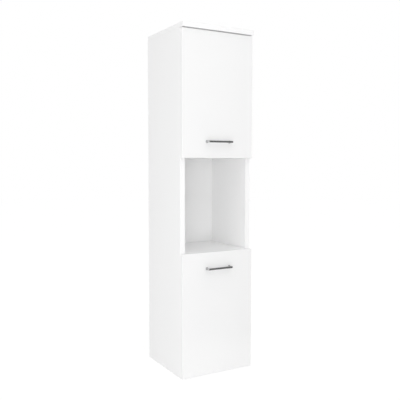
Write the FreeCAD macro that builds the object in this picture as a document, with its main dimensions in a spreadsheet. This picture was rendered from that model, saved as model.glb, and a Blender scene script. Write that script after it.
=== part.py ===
"""Tall, narrow bathroom wall cabinet: two doors with an open niche between them.

Millimetres. +X is to the right seen from the front, -Y is the front, +Z is up.
The origin is the middle of the flat underside of the carcass.
"""
import FreeCAD, Part
import os
import re
import Sketcher

Vector = FreeCAD.Vector
Rotation = FreeCAD.Rotation

# name, value, what it is
SIZES = [
    ("width", 350, "across the side panels, and of the doors and the top"),
    ("carcass_depth", 320, "front to rear edges of the side panels"),
    ("total_height", 1500, "underside to upper face of the top panel"),
    ("side_thickness", 22, "side panels"),
    ("top_thickness", 20, "top panel"),
    ("bottom_thickness", 22, "bottom panel"),
    ("niche_board", 22, "niche floor and niche ceiling"),
    ("top_overhang", 26, "top panel beyond the front edges of the sides"),
    ("niche_floor_level", 538, "upper face of the niche floor, top edge of the lower door"),
    ("niche_opening", 405, "clear height of the niche"),
    ("edge_round", 1, "rounding of the boards' banded edges"),
    ("door_thickness", 16, "both doors"),
    ("door_gap", 1.5, "doors' back faces to the front edges of the carcass"),
    ("door_top_gap", 3, "upper door to the underside of the top panel"),
    ("door_foot_gap", 2, "lower door above the underside of the carcass"),
    ("door_edge_round", 1.2, "rounding of the doors' edges"),
    ("back_thickness", 3, "back panel"),
    ("back_recess", 25, "hollow behind the back panel"),
    ("groove_depth", 7, "grooves that hold the back panel"),
    ("groove_play", 0.2, "back panel to the faces of its grooves"),
    ("shelf_thickness", 16, "loose shelves"),
    ("shelf_play", 1, "loose shelf to each side panel"),
    ("shelf_setback", 20, "loose shelf behind the front edges of the sides"),
    ("shelf_back_play", 2, "loose shelf to the back panel"),
    ("support_radius", 2.45, "shank of a shelf support"),
    ("support_hole_radius", 2.5, "holes for the shelf supports"),
    ("support_hole_depth", 11, "holes for the shelf supports"),
    ("support_shank", 10, "shank of a shelf support inside its hole"),
    ("support_reach", 9, "tongue of a shelf support, from the side panel"),
    ("support_width", 7, "tongue of a shelf support"),
    ("support_height", 7, "tongue of a shelf support"),
    ("support_inset", 50, "support holes from the front edges and from the back panel"),
    ("support_pitch", 64, "support holes above and below those in use"),
    ("handle_length", 122, "bar of a handle, over its legs"),
    ("handle_reach", 25, "front of the bar to the door"),
    ("handle_bar_height", 8, "bar of a handle"),
    ("handle_bar_depth", 7, "bar of a handle"),
    ("handle_leg_width", 9, "legs of a handle, along the bar"),
    ("handle_foot_height", 12.5, "feet of a handle on the door"),
    ("handle_foot_width", 12, "feet of a handle, along the bar"),
    ("handle_foot_depth", 6, "feet of a handle from the door forward"),
    ("handle_round", 0.8, "rounding of a handle's edges"),
    ("handle_edge_space", 69.5, "handle's centre line to the door's edge at the niche"),
    ("handle_screw_radius", 2, "screws of the handles"),
    ("handle_screw_hole", 2.25, "holes for them in the doors"),
    ("handle_tapping", 2.05, "threaded holes in the feet"),
    ("handle_tapping_depth", 12, "threaded holes in the feet"),
    ("handle_screw_bite", 10, "screw inside the foot"),
    ("handle_head_radius", 4, "heads of the handle screws"),
    ("handle_head_height", 2.2, "heads of the handle screws"),
    ("bumper_radius", 4, "soft bumpers on the doors"),
    ("bumper_height", 1.3, "soft bumpers on the doors"),
    ("bumper_inset", 11, "bumpers from the doors' edges"),
    ("hinge_end_space", 90, "hinges from the upper and lower edges of their door"),
    ("cup_edge_space", 5, "hinge cup from the edge of the door"),
    ("cup_radius", 17.5, "hole for a hinge cup in the door"),
    ("cup_play", 0.1, "hinge cup inside its hole"),
    ("cup_depth", 11.5, "hole for a hinge cup"),
    ("cup_wall", 0.9, "wall and floor of a hinge cup"),
    ("cup_flange", 1, "flange of a cup on the door's back face"),
    ("cup_flange_radius", 18.3, "flange of a cup round its mouth"),
    ("cup_wing_length", 57, "flange of a cup over its two ears"),
    ("cup_wing_width", 13, "ears of the flange"),
    ("cup_screw_offset", 9.5, "ears' screws beyond the middle of the cup"),
    ("cup_screw_spacing", 45, "between the two screws of a cup"),
    ("cup_screw_radius", 1.75, "shank of a cup screw"),
    ("cup_screw_length", 11, "cup screw inside the door"),
    ("cup_pin_inset", 10, "cup's pin from the middle of the cup, to the edge"),
    ("cup_pin_depth", 5.5, "cup's pin below the door's back face"),
    ("arm_pin_inset", 13, "arm's pin from the inner face of the side panel"),
    ("arm_pin_setback", 2.5, "arm's pin behind the front edge of the side panel"),
    ("pin_radius", 1.2, "pins of the hinges"),
    ("pin_play", 0.05, "pins inside their holes"),
    ("link_eye", 2.4, "eyes of a link round its pins"),
    ("link_half_width", 1.6, "cheeks of a link between the eyes"),
    ("link_elbow_run", 9.5, "elbow of a link from the cup's pin, across the door"),
    ("link_elbow_drop", 2.5, "elbow of a link from the cup's pin, into the cup"),
    ("link_cheek", 1.5, "thickness of a link's cheeks"),
    ("link_span", 10, "link over its two cheeks"),
    ("link_play", 0.3, "cheeks of a link to the arm"),
    ("arm_sheet", 1.2, "sheet of a hinge arm"),
    ("arm_nose", 2.6, "rounded nose of an arm round its pin"),
    ("arm_length", 56, "arm behind its pin"),
    ("arm_clear_front", 6, "arm's outer web behind its pin"),
    ("plate_setback", 37, "middle of a mounting plate behind the front edge"),
    ("plate_base", 2, "base of a mounting plate"),
    ("plate_width", 14, "wings of a mounting plate"),
    ("plate_height", 50, "wings of a mounting plate"),
    ("plate_block_length", 44, "block of a mounting plate inside the arm"),
    ("plate_screw_spacing", 32, "between the two screws of a plate"),
    ("plate_screw_radius", 2.4, "screws of a plate"),
    ("plate_screw_hole", 2.5, "holes for them"),
    ("plate_screw_length", 11, "screw of a plate inside the side panel"),
    ("plate_head_radius", 4, "heads of the plate screws"),
    ("plate_head_height", 1.5, "heads of the plate screws"),
    ("arm_screw_radius", 2, "adjusting screws of an arm"),
    ("arm_screw_hole", 2.1, "holes for them in the arm and the plate"),
    ("arm_screw_spacing", 24, "between the two screws of an arm"),
    ("arm_screw_length", 8, "adjusting screw below its head"),
    ("arm_head_radius", 3.4, "heads of the adjusting screws"),
    ("arm_head_height", 1.2, "heads of the adjusting screws"),
    ("dowel_radius", 4, "wooden dowels"),
    ("dowel_play", 0.05, "dowels inside their holes"),
    ("dowel_in_side", 12, "dowel beyond the joint, into the board it is pressed in"),
    ("dowel_in_board", 17, "dowel inside the end of the other board"),
    ("cam_radius", 7.4, "cam housings"),
    ("cam_play", 0.1, "cam housings inside their holes"),
    ("cam_height", 12, "cam housings"),
    ("cam_distance", 34, "middle of a cam housing from the joint"),
    ("cam_bolt_radius", 3, "bolts of the cams"),
    ("cam_channel", 4, "channels for the bolts"),
    ("cam_thread_radius", 2.45, "threaded ends of the bolts"),
    ("cam_thread_length", 11, "threaded ends of the bolts"),
    ("cam_cap_radius", 8.5, "caps over the cam housings"),
    ("cam_cap_height", 0.8, "caps over the cam housings"),
    ("fitting_front", 45, "front cams behind the front edge"),
    ("fitting_rear", 215, "rear cams behind the front edge"),
    ("fitting_step", 32, "from each cam to its dowel"),
    ("hanger_width", 42, "hanger housings across the cabinet"),
    ("hanger_depth", 16, "hanger housings front to rear"),
    ("hanger_height", 60, "hanger housings"),
    ("hanger_drop", 12, "hanger housings below the top panel"),
    ("hanger_play", 0.3, "hanger housings behind the back panel"),
    ("hanger_hook_width", 22, "steel hooks of the hangers"),
    ("hook_sheet", 2.5, "sheet of the hooks"),
    ("hook_clearance", 0.5, "hooks' tongues above the bend of the rail"),
    ("hanger_screw_radius", 2.4, "screws of the hangers"),
    ("hanger_screw_hole", 2.5, "holes for them"),
    ("hanger_screw_bite", 11, "hanger screw inside the side panel"),
    ("hanger_screw_spacing", 32, "between the two screws of a hanger"),
    ("hanger_head_radius", 4, "heads of the hanger screws"),
    ("hanger_head_height", 2, "heads of the hanger screws"),
    ("hanger_wall", 3, "foot of a hanger housing on the side panel"),
    ("access_radius", 5, "holes in the back panel in front of the hangers"),
    ("access_cap_radius", 7, "caps in these holes"),
    ("access_cap_height", 1, "caps in front of the back panel"),
    ("rail_length", 280, "rail on the wall"),
    ("rail_height", 40, "rail on the wall, without its lip"),
    ("rail_sheet", 2, "sheet of the rail"),
    ("rail_shelf", 8, "lip of the rail in front of the wall"),
    ("rail_lip", 8, "lip of the rail above its bend"),
    ("rail_drop", 10, "lip of the rail below the top panel"),
    ("rail_hole_spacing", 200, "between the two holes of the rail"),
    ("rail_hole_radius", 3.25, "holes of the rail"),
    ("rail_hole_height", 15, "holes above the lower edge of the rail"),
]

# places that several pieces share, worked out from the sizes
PLACES = {
    "right": "width / 2",
    "left": "-width / 2",
    "inner": "width / 2 - side_thickness",
    "front": "-carcass_depth / 2",
    "rear": "carcass_depth / 2",
    "door_back": "-carcass_depth / 2 - door_gap",
    "door_front": "-carcass_depth / 2 - door_gap - door_thickness",
    "back_face": "carcass_depth / 2 - back_recess - back_thickness",
    "back_rear": "carcass_depth / 2 - back_recess",
    "under_top": "total_height - top_thickness",
    "niche_top": "niche_floor_level + niche_opening",
    "upper_floor": "niche_floor_level + niche_opening + niche_board",
    "upper_support": "(upper_floor + under_top - shelf_thickness) / 2",
    "lower_support": "(bottom_thickness + niche_floor_level - niche_board - shelf_thickness) / 2",
    "cup_middle": "width / 2 - cup_edge_space - cup_radius",
    "cup_pin_x": "width / 2 - cup_edge_space - cup_radius + cup_pin_inset",
    "cup_pin_y": "-carcass_depth / 2 - door_gap - cup_pin_depth",
    "arm_pin_x": "width / 2 - side_thickness - arm_pin_inset",
    "arm_pin_y": "-carcass_depth / 2 + arm_pin_setback",
    "elbow_x": "cup_pin_x - link_elbow_run",
    "elbow_y": "cup_pin_y - link_elbow_drop",
    "plate_y": "-carcass_depth / 2 + plate_setback",
    "arm_half": "link_span / 2 + link_play + arm_sheet",
    "arm_outer": "arm_pin_x - arm_nose",
    "hook_top": "total_height - top_thickness - rail_drop + hook_sheet",
    "lip_top": "total_height - top_thickness - rail_drop",
    "rail_top": "total_height - top_thickness - rail_drop - rail_lip",
    "rail_foot": "total_height - top_thickness - rail_drop - rail_lip - rail_height",
    "hanger_top": "total_height - top_thickness - hanger_drop",
    "hanger_front": "carcass_depth / 2 - back_recess + hanger_play",
    "access_z": "total_height - top_thickness - hanger_drop - hanger_height / 2",
}

VALUE = {name: float(value) for name, value, about in SIZES}
ROUGH = 10.0  # side of a sketched rectangle before its formulas set it
NEAR = 0.1  # how close an edge's middle is to the face that it belongs to


def ex(text):
    """A formula over sizes and places, as an expression over the spreadsheet."""
    def word(found):
        name = found.group(0)
        if name in PLACES:
            return "(" + ex(PLACES[name]) + ")"
        return "Sizes." + name if name in VALUE else name
    return re.sub(r"[a-z][a-z_0-9]*", word, str(text))


doc = FreeCAD.newDocument("TallCabinet")
sheet = doc.addObject("Spreadsheet::Sheet", "Sizes")
for row, (name, value, about) in enumerate(SIZES, start=1):
    sheet.set("A%d" % row, about)
    sheet.set("B%d" % row, str(value))
    sheet.setAlias("B%d" % row, name)
doc.recompute()

nodes = []
TURN = {
    "x": Rotation(Vector(0, 1, 0), 90),
    "y": Rotation(Vector(1, 0, 0), -90),
    "z": Rotation(),
}


def place(thing, x, y, z):
    for axis, formula in zip("xyz", (x, y, z)):
        thing.setExpression("Placement.Base." + axis, ex(formula))


def box(name, x, y, z):
    """A block between two limits along each axis."""
    block = doc.addObject("Part::Box", name)
    for side, (low, high) in zip(("Length", "Width", "Height"), (x, y, z)):
        block.setExpression(side, ex("(%s) - (%s)" % (high, low)))
    place(block, x[0], y[0], z[0])
    return block


def rod(name, axis, middle, span, radius):
    """A round bar along an axis: its middle on the other two axes, its span and its radius."""
    bar = doc.addObject("Part::Cylinder", name)
    bar.Placement = FreeCAD.Placement(Vector(), TURN[axis])
    bar.setExpression("Radius", ex(radius))
    bar.setExpression("Height", ex("(%s) - (%s)" % (span[1], span[0])))
    low = list(middle)
    low.insert("xyz".index(axis), span[0])
    place(bar, *low)
    return bar


def fuse(name, parts):
    whole = doc.addObject("Part::MultiFuse", name)
    whole.Shapes = parts
    whole.Refine = True
    return whole


def cut(name, base, tools):
    rest = doc.addObject("Part::Cut", name)
    rest.Base = base
    rest.Tool = tools[0] if len(tools) == 1 else fuse(name + "_tools", tools)
    return rest


def group(name, parts):
    """Like pieces, side by side as separate solids."""
    together = doc.addObject("Part::Compound", name)
    together.Links = parts
    return together


def rounded(name, base, size, chosen=lambda middle, bounds: True):
    """Round the edges that the test picks by their middle and the body's bounds."""
    doc.recompute()
    bounds = base.Shape.BoundBox
    edges = enumerate(base.Shape.Edges, start=1)
    radius = VALUE[size]
    soft = doc.addObject("Part::Fillet", name)
    soft.Base = base
    soft.Edges = [(n, radius, radius) for n, edge in edges if chosen(edge.CenterOfMass, bounds)]
    return soft


def node(label, thing):
    thing.Label = label
    nodes.append(thing)
    return thing


# ---------------------------------------------------------------- boards and their fittings

def across(side, formula):
    """A distance from the middle, to the right (side 1) or to the left (side -1)."""
    return "%d * (%s)" % (side, formula)


def span_across(side, low, high):
    ends = (across(side, low), across(side, high))
    return ends if side > 0 else ends[::-1]


SIDES = (("right", 1), ("left", -1))
CAM_Y = ("front + fitting_front", "front + fitting_rear")
# the boards between the sides: lower face, upper face, and where the cams' mouths are
SHELVES = {
    "bottom_panel": ("0", "bottom_thickness", "upper"),
    "niche_floor_panel": ("niche_floor_level - niche_board", "niche_floor_level", "lower"),
    "niche_ceiling_panel": ("niche_top", "upper_floor", "upper"),
}

holes = {name: [] for name in ("left_side_panel", "right_side_panel", "top_panel", *SHELVES)}
dowels, cams, cam_bolts, cam_caps = [], [], [], []


def cam_joint(board, side, y, low, high, mouth):
    """Cam, bolt, cap and dowel that hold one end of a level board to a side panel."""
    tag = "%s_%s_%d" % (board, "right" if side > 0 else "left", len(cams))
    panel = "right_side_panel" if side > 0 else "left_side_panel"
    middle = "((%s) + (%s)) / 2" % (low, high)
    cam_x = across(side, "inner - cam_distance")
    if mouth == "upper":
        cam_z, cap_z = ("(%s) - cam_height" % high, high), (high, "(%s) + cam_cap_height" % high)
    else:
        cam_z, cap_z = (low, "(%s) + cam_height" % low), ("(%s) - cam_cap_height" % low, low)
    bolt_z = "(%s) - cam_height / 2" % high if mouth == "upper" else "(%s) + cam_height / 2" % low
    channel = span_across(side, "inner - cam_distance", "inner")
    holes[board].append(rod("cam_hole_" + tag, "z", (cam_x, y), cam_z, "cam_radius + cam_play"))
    holes[board].append(rod("bolt_channel_" + tag, "x", (y, bolt_z), channel, "cam_channel"))
    thread = span_across(side, "inner", "inner + cam_thread_length")
    holes[panel].append(rod("bolt_hole_" + tag, "x", (y, bolt_z), thread, "cam_thread_radius + dowel_play"))
    housing = rod("cam_body_" + tag, "z", (cam_x, y), cam_z, "cam_radius")
    mouth_cut = rod("cam_bore_" + tag, "x", (y, bolt_z), channel, "cam_channel")
    cams.append(cut("cam_" + tag, housing, [mouth_cut]))
    shank = span_across(side, "inner - cam_distance + cam_bolt_radius", "inner")
    screw = rod("bolt_thread_" + tag, "x", (y, bolt_z), thread, "cam_thread_radius")
    stem = rod("bolt_stem_" + tag, "x", (y, bolt_z), shank, "cam_bolt_radius")
    cam_bolts.append(fuse("cam_bolt_" + tag, [screw, stem]))
    cam_caps.append(rod("cam_cap_" + tag, "z", (cam_x, y), cap_z, "cam_cap_radius"))
    dowel_y = "%s + fitting_step" % y
    whole = span_across(side, "inner - dowel_in_board", "inner + dowel_in_side")
    where = (dowel_y, middle)
    for name in (board, panel):
        holes[name].append(rod("dowel_hole_%s_%s" % (name, tag), "x", where, whole, "dowel_radius + dowel_play"))
    dowels.append(rod("dowel_" + tag, "x", where, whole, "dowel_radius"))


def top_joint(side, y):
    """Cam, bolt, cap and dowel that hold the top panel on a side panel."""
    tag = "top_%s_%d" % ("right" if side > 0 else "left", len(cams))
    panel = "right_side_panel" if side > 0 else "left_side_panel"
    cam_z = "under_top - cam_distance"
    cam_x = span_across(side, "inner", "inner + cam_height")
    bolt_x = across(side, "inner + cam_height / 2")
    channel = (cam_z, "under_top")
    holes[panel].append(rod("cam_hole_" + tag, "x", (y, cam_z), cam_x, "cam_radius + cam_play"))
    holes[panel].append(rod("bolt_channel_" + tag, "z", (bolt_x, y), channel, "cam_channel"))
    thread = ("under_top", "under_top + cam_thread_length")
    where = (bolt_x, y)
    holes["top_panel"].append(rod("bolt_hole_" + tag, "z", where, thread, "cam_thread_radius + dowel_play"))
    housing = rod("cam_body_" + tag, "x", (y, cam_z), cam_x, "cam_radius")
    cams.append(cut("cam_" + tag, housing, [rod("cam_bore_" + tag, "z", where, channel, "cam_channel")]))
    screw = rod("bolt_thread_" + tag, "z", where, thread, "cam_thread_radius")
    stem_z = ("%s + cam_bolt_radius" % cam_z, "under_top")
    stem = rod("bolt_stem_" + tag, "z", where, stem_z, "cam_bolt_radius")
    cam_bolts.append(fuse("cam_bolt_" + tag, [screw, stem]))
    cap_x = span_across(side, "inner - cam_cap_height", "inner")
    cam_caps.append(rod("cam_cap_" + tag, "x", (y, cam_z), cap_x, "cam_cap_radius"))
    whole = ("under_top - dowel_in_board", "under_top + dowel_in_side")
    where = (across(side, "inner + side_thickness / 2"), "%s + fitting_step" % y)
    for name in ("top_panel", panel):
        holes[name].append(rod("dowel_hole_%s_%s" % (name, tag), "z", where, whole, "dowel_radius + dowel_play"))
    dowels.append(rod("dowel_" + tag, "z", where, whole, "dowel_radius"))


for side_name, side in SIDES:
    for y in CAM_Y:
        for board, (low, high, mouth) in SHELVES.items():
            cam_joint(board, side, y, low, high, mouth)
        top_joint(side, y)

# ---------------------------------------------------------------- shelf supports

supports = {"upper_shelf_supports": [], "lower_shelf_supports": []}
for name, level in (("upper_shelf_supports", "upper_support"), ("lower_shelf_supports", "lower_support")):
    for side_name, side in SIDES:
        hole_x = span_across(side, "inner", "inner + support_hole_depth")
        for column, y in (("front", "front + support_inset"), ("rear", "back_face - support_inset")):
            tag = "%s_%s_%s" % (name, side_name, column)
            middle = "%s - support_height / 2" % level
            for step in (-1, 0, 1):
                z = "%s + %d * support_pitch" % (middle, step)
                hole = rod("hole_%s_%d" % (tag, step + 1), "x", (y, z), hole_x, "support_hole_radius")
                holes[side_name + "_side_panel"].append(hole)
            shank_x = span_across(side, "inner", "inner + support_shank")
            shank = rod("shank_" + tag, "x", (y, middle), shank_x, "support_radius")
            reach_x = span_across(side, "inner - support_reach", "inner")
            half = "support_width / 2"
            tongue_y = ("%s - %s" % (y, half), "%s + %s" % (y, half))
            tongue = box("tongue_" + tag, reach_x, tongue_y, ("%s - support_height" % level, level))
            supports[name].append(fuse("support_" + tag, [shank, tongue]))

# ---------------------------------------------------------------- hinges

HINGES = {
    "upper_door": ("niche_top", "under_top - door_top_gap"),
    "lower_door": ("door_foot_gap", "niche_floor_level"),
}
cup_holes = {door: [] for door in HINGES}
cup_pins = {door: [] for door in HINGES}
cup_screws = {door: [] for door in HINGES}
arm_pins, plate_screws, arm_screws = [], [], []


def slab(name, start, end, half_width, z):
    """A flat bar between two points in plan, as a board of the given half width."""
    run_x = "((%s) - (%s))" % (end[0], start[0])
    run_y = "((%s) - (%s))" % (end[1], start[1])
    length = "sqrt(%s * %s + %s * %s)" % (run_x, run_x, run_y, run_y)
    bar = doc.addObject("Part::Box", name)
    bar.setExpression("Length", ex(length))
    bar.setExpression("Width", ex("2 * " + half_width))
    bar.setExpression("Height", ex("(%s) - (%s)" % (z[1], z[0])))
    bar.Placement = FreeCAD.Placement(Vector(), Rotation(Vector(0, 0, 1), 1))
    bar.setExpression("Placement.Rotation.Angle", ex("atan2(%s; %s)" % (run_y, run_x)))
    place(bar,
          "(%s) + %s * %s / %s" % (start[0], half_width, run_y, length),
          "(%s) - %s * %s / %s" % (start[1], half_width, run_x, length),
          z[0])
    return bar


def make_cup(tag, door, z):
    """Steel cup in the door's back face, with its flange, ears, screws and pin."""
    back = "door_back"
    floor_y = "door_back - cup_depth + cup_play"
    flange_y = (back, "door_back + cup_flange")
    where = ("cup_middle", z)
    ear_x = "cup_middle - cup_screw_offset"
    ear_span = ("%s - cup_wing_width / 2" % ear_x, "%s + cup_wing_width / 2" % ear_x)
    ear_z = ("%s - cup_wing_length / 2" % z, "%s + cup_wing_length / 2" % z)
    cup_holes[door].append(rod("cup_pocket_" + tag, "y", where, ("door_back - cup_depth", back), "cup_radius"))
    outside = fuse("cup_outside_" + tag, [
        rod("cup_shell_" + tag, "y", where, (floor_y, back), "cup_radius - cup_play"),
        rod("cup_rim_" + tag, "y", where, flange_y, "cup_flange_radius"),
        box("cup_ears_" + tag, ear_span, flange_y, ear_z),
    ])
    inside = rod("cup_hollow_" + tag, "y", where, ("%s + cup_wall" % floor_y, "door_back + cup_flange"),
                 "cup_radius - cup_play - cup_wall")
    pin_at = ("cup_pin_x", "cup_pin_y")
    shell, reach = "(cup_radius - cup_play)", "(cup_pin_inset + pin_radius)"
    half = "sqrt(%s * %s - %s * %s)" % (shell, shell, reach, reach)
    pin_z = ("%s - %s" % (z, half), "%s + %s" % (z, half))
    pin_hole = rod("cup_pin_hole_" + tag, "z", pin_at, pin_z, "pin_radius + pin_play")
    cup_pins[door].append(rod("cup_pin_" + tag, "z", pin_at, pin_z, "pin_radius"))
    tools = [inside, pin_hole]
    for end, sign in (("high", 1), ("low", -1)):
        screw_at = (ear_x, "%s + %d * cup_screw_spacing / 2" % (z, sign))
        depth = ("door_back - cup_screw_length", "door_back + cup_flange")
        tools.append(rod("cup_screw_way_%s_%s" % (tag, end), "y", screw_at, flange_y, "cup_screw_radius + pin_play"))
        cup_holes[door].append(rod("cup_screw_hole_%s_%s" % (tag, end), "y", screw_at,
                                   ("door_back - cup_screw_length", back), "cup_screw_radius + pin_play"))
        cup_screws[door].append(rod("cup_screw_%s_%s" % (tag, end), "y", screw_at, depth, "cup_screw_radius"))
    node(tag + "_cup", cut("cup_" + tag, outside, tools))


def make_link(tag, z):
    """Cranked link: two cheeks with eyes at both pins, joined by a web."""
    cup_at, arm_at = ("cup_pin_x", "cup_pin_y"), ("arm_pin_x", "arm_pin_y")
    elbow = ("elbow_x", "elbow_y")
    outer = "link_span / 2"
    inner = "link_span / 2 - link_cheek"
    parts = []
    for end, span in (("high", ("%s + %s" % (z, inner), "%s + %s" % (z, outer))),
                      ("low", ("%s - %s" % (z, outer), "%s - (%s)" % (z, inner)))):
        name = "%s_%s" % (tag, end)
        parts.append(rod("eye_cup_" + name, "z", cup_at, span, "link_eye"))
        parts.append(rod("eye_arm_" + name, "z", arm_at, span, "link_eye"))
        parts.append(rod("elbow_" + name, "z", elbow, span, "link_half_width"))
        parts.append(slab("cheek_cup_" + name, cup_at, elbow, "link_half_width", span))
        parts.append(slab("cheek_arm_" + name, elbow, arm_at, "link_half_width", span))
    middle = tuple("(%s + %s) / 2" % pair for pair in zip(elbow, arm_at))
    web_z = ("%s - (%s)" % (z, inner), "%s + %s" % (z, inner))
    parts.append(slab("web_" + tag, elbow, middle, "link_half_width / 2", web_z))
    whole_z = ("%s - %s" % (z, outer), "%s + %s" % (z, outer))
    bores = [rod("%s_bore_%s" % (end, tag), "z", at, whole_z, "pin_radius + pin_play")
             for end, at in (("cup", cup_at), ("arm", arm_at))]
    node(tag + "_link", cut("link_" + tag, fuse("link_body_" + tag, parts), bores))


def make_arm(tag, z):
    """Channel-shaped arm that straddles the block of the mounting plate."""
    low, high = "%s - arm_half" % z, "%s + arm_half" % z
    nose_x = ("arm_outer", "arm_pin_x + arm_nose")
    end_y = "arm_pin_y + arm_length"
    parts = []
    for end, span in (("high", ("%s - arm_sheet" % high, high)), ("low", (low, "%s + arm_sheet" % low))):
        parts.append(rod("nose_%s_%s" % (tag, end), "z", ("arm_pin_x", "arm_pin_y"), span, "arm_nose"))
        parts.append(box("flank_%s_%s" % (tag, end), nose_x, ("arm_pin_y", end_y), span))
    web_x = ("arm_outer", "arm_outer + arm_sheet")
    parts.append(box("arm_web_" + tag, web_x, ("arm_pin_y + arm_clear_front", end_y), (low, high)))
    pin_at = ("arm_pin_x", "arm_pin_y")
    tools = [rod("arm_pin_hole_" + tag, "z", pin_at, (low, high), "pin_radius + pin_play")]
    for end, sign in (("front", -1), ("back", 1)):
        at = ("plate_y + %d * arm_screw_spacing / 2" % sign, z)
        tools.append(rod("arm_screw_way_%s_%s" % (tag, end), "x", at, web_x, "arm_screw_hole"))
    node(tag + "_arm", cut("arm_" + tag, fuse("arm_body_" + tag, parts), tools))
    arm_pins.append(rod("arm_pin_" + tag, "z", pin_at, (low, high), "pin_radius"))


def make_plate(tag, z):
    """Mounting plate on the side panel: two wings with screws and a block for the arm."""
    base_x = ("inner - plate_base", "inner")
    wing_y = ("plate_y - plate_width / 2", "plate_y + plate_width / 2")
    wing_z = ("%s - plate_height / 2" % z, "%s + plate_height / 2" % z)
    block_x = ("arm_outer + arm_sheet", "inner")
    block_y = ("plate_y - plate_block_length / 2", "plate_y + plate_block_length / 2")
    block_z = ("%s - arm_half + arm_sheet" % z, "%s + arm_half - arm_sheet" % z)
    body = fuse("plate_body_" + tag, [
        box("plate_wings_" + tag, base_x, wing_y, wing_z),
        box("plate_block_" + tag, block_x, block_y, block_z),
    ])
    tools = []
    for end, sign in (("high", 1), ("low", -1)):
        at = ("plate_y", "%s + %d * plate_screw_spacing / 2" % (z, sign))
        tools.append(rod("plate_way_%s_%s" % (tag, end), "x", at, base_x, "plate_screw_hole"))
        shank_x = ("inner - plate_base", "inner + plate_screw_length")
        head_x = ("inner - plate_base - plate_head_height", "inner - plate_base")
        holes["right_side_panel"].append(rod("plate_hole_%s_%s" % (tag, end), "x", at,
                                             ("inner", "inner + plate_screw_length"), "plate_screw_hole"))
        plate_screws.append(fuse("plate_screw_%s_%s" % (tag, end), [
            rod("plate_shank_%s_%s" % (tag, end), "x", at, shank_x, "plate_screw_radius"),
            rod("plate_head_%s_%s" % (tag, end), "x", at, head_x, "plate_head_radius"),
        ]))
    for end, sign in (("front", -1), ("back", 1)):
        at = ("plate_y + %d * arm_screw_spacing / 2" % sign, z)
        bite_x = ("arm_outer", "arm_outer + arm_screw_length")
        head_x = ("arm_outer - arm_head_height", "arm_outer")
        tools.append(rod("arm_screw_hole_%s_%s" % (tag, end), "x", at, bite_x, "arm_screw_hole"))
        arm_screws.append(fuse("arm_screw_%s_%s" % (tag, end), [
            rod("arm_shank_%s_%s" % (tag, end), "x", at, bite_x, "arm_screw_radius"),
            rod("arm_head_%s_%s" % (tag, end), "x", at, head_x, "arm_head_radius"),
        ]))
    node(tag + "_plate", cut("plate_" + tag, body, tools))


for door, (foot, head) in HINGES.items():
    for end, z in (("high", "(%s - hinge_end_space)" % head), ("low", "(%s + hinge_end_space)" % foot)):
        hinge = "%s_%s_hinge" % (door, end)
        make_cup(hinge, door, z)
        make_link(hinge, z)
        make_arm(hinge, z)
        make_plate(hinge, z)
    node(door + "_cup_pins", group(door + "_cup_pins", cup_pins[door]))
    node(door + "_cup_screws", group(door + "_cup_screws", cup_screws[door]))
node("hinge_arm_pins", group("hinge_arm_pins", arm_pins))
node("hinge_plate_screws", group("hinge_plate_screws", plate_screws))
node("hinge_arm_screws", group("hinge_arm_screws", arm_screws))

# ---------------------------------------------------------------- doors

def local_plane(body, role):
    return next(f for f in body.Origin.OriginFeatures if f.Role == role)


def sketch_on(body, name, role, formula=None):
    sketch = body.newObject("Sketcher::SketchObject", name)
    sketch.AttachmentSupport = [(local_plane(body, role), "")]
    sketch.MapMode = "FlatFace"
    if formula:
        sketch.setExpression("AttachmentOffset.Base.z", ex(formula))
    return sketch


def rectangle(sketch, x, y, wide, tall):
    """A rectangle from its lower left corner, each of its four sizes bound to a formula."""
    first = sketch.GeometryCount
    corners = [Vector(0, 0, 0), Vector(ROUGH, 0, 0), Vector(ROUGH, ROUGH, 0), Vector(0, ROUGH, 0)]
    for start, end in zip(corners, corners[1:] + corners[:1]):
        sketch.addGeometry(Part.LineSegment(start, end), False)
    for n in range(4):
        sketch.addConstraint(Sketcher.Constraint("Coincident", first + n, 2, first + (n + 1) % 4, 1))
    for n, way in enumerate(("Horizontal", "Vertical", "Horizontal", "Vertical")):
        sketch.addConstraint(Sketcher.Constraint(way, first + n))
    ties = (("DistanceX", (-1, 1, first, 1), x), ("DistanceY", (-1, 1, first, 1), y),
            ("DistanceX", (first, 1, first, 2), wide), ("DistanceY", (first + 1, 1, first + 1, 2), tall))
    for kind, points, formula in ties:
        index = sketch.addConstraint(Sketcher.Constraint(kind, *points, ROUGH))
        sketch.setExpression("Constraints[%d]" % index, ex(formula))


def pad(body, name, sketch, formula, both_ways=False):
    solid = body.newObject("PartDesign::Pad", name)
    solid.Profile = sketch
    solid.setExpression("Length", ex(formula))
    solid.Midplane = both_ways
    return solid


def soften(body, name, solid, formula):
    soft = body.newObject("PartDesign::Fillet", name)
    soft.Base = (solid, ["Edge1"])
    soft.UseAllEdges = True
    soft.setExpression("Radius", ex(formula))
    body.Tip = soft
    return soft


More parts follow.
